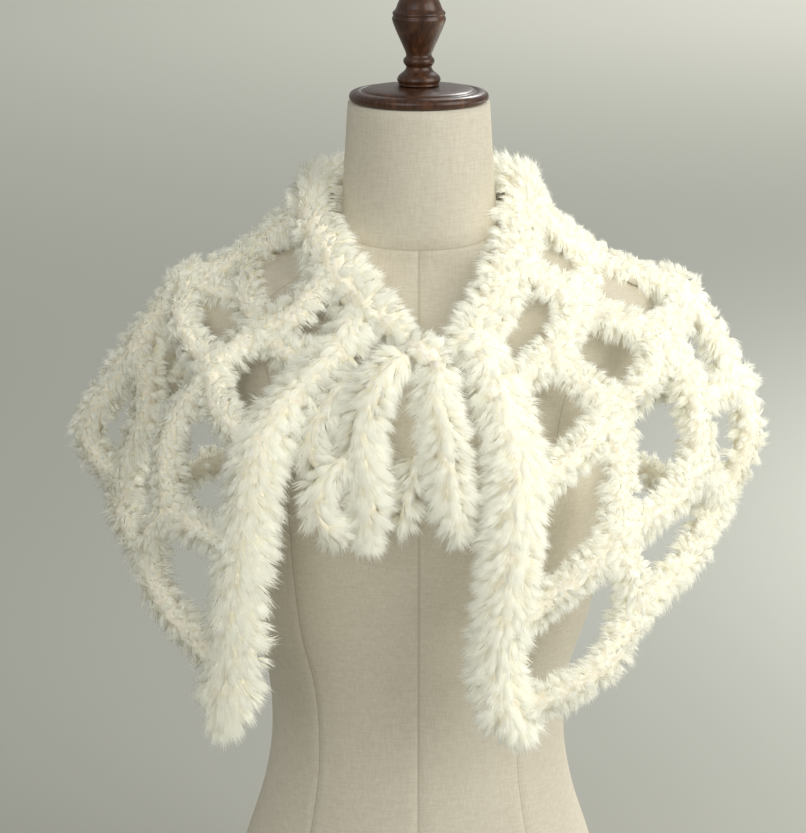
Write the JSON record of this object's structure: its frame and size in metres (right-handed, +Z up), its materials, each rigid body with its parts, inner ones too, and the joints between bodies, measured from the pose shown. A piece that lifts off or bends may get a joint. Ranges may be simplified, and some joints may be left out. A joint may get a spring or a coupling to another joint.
{
  "type": "crochet capelet on a limbless dress form",
  "caption": "Open net shoulder capelet in thick fur yarn with a soft roll collar and a tied front, worn on a limbless dress form with a turned wooden cap.",
  "frame": {"origin": "centre of the dress form's flat underside", "axes": "+Z up the form, -Y towards the garment's open front, +X to the viewer's right from the front"},
  "size_m": [0.5186, 0.3133, 0.797],
  "materials": {
    "fur_yarn": "soft cream-white faux-fur chenille yarn",
    "form_linen": "fine beige linen, tightly covered and seamed",
    "turned_walnut": "dark walnut, turned and satin lacquered"
  },
  "bodies": {
    "root": {"dress_form_torso": "form_linen", "neck_cap": "turned_walnut", "finial": "turned_walnut", "collar": "fur_yarn", "front_band_left": "fur_yarn", "front_band_right": "fur_yarn", "net_front_left": "fur_yarn", "net_front_right": "fur_yarn", "net_back": "fur_yarn", "tie_knot": "fur_yarn", "tie_left": "fur_yarn", "tie_left_curl": "fur_yarn", "tie_right": "fur_yarn", "tie_right_short": "fur_yarn", "tie_loop": "fur_yarn"}
  },
  "joints": []
}
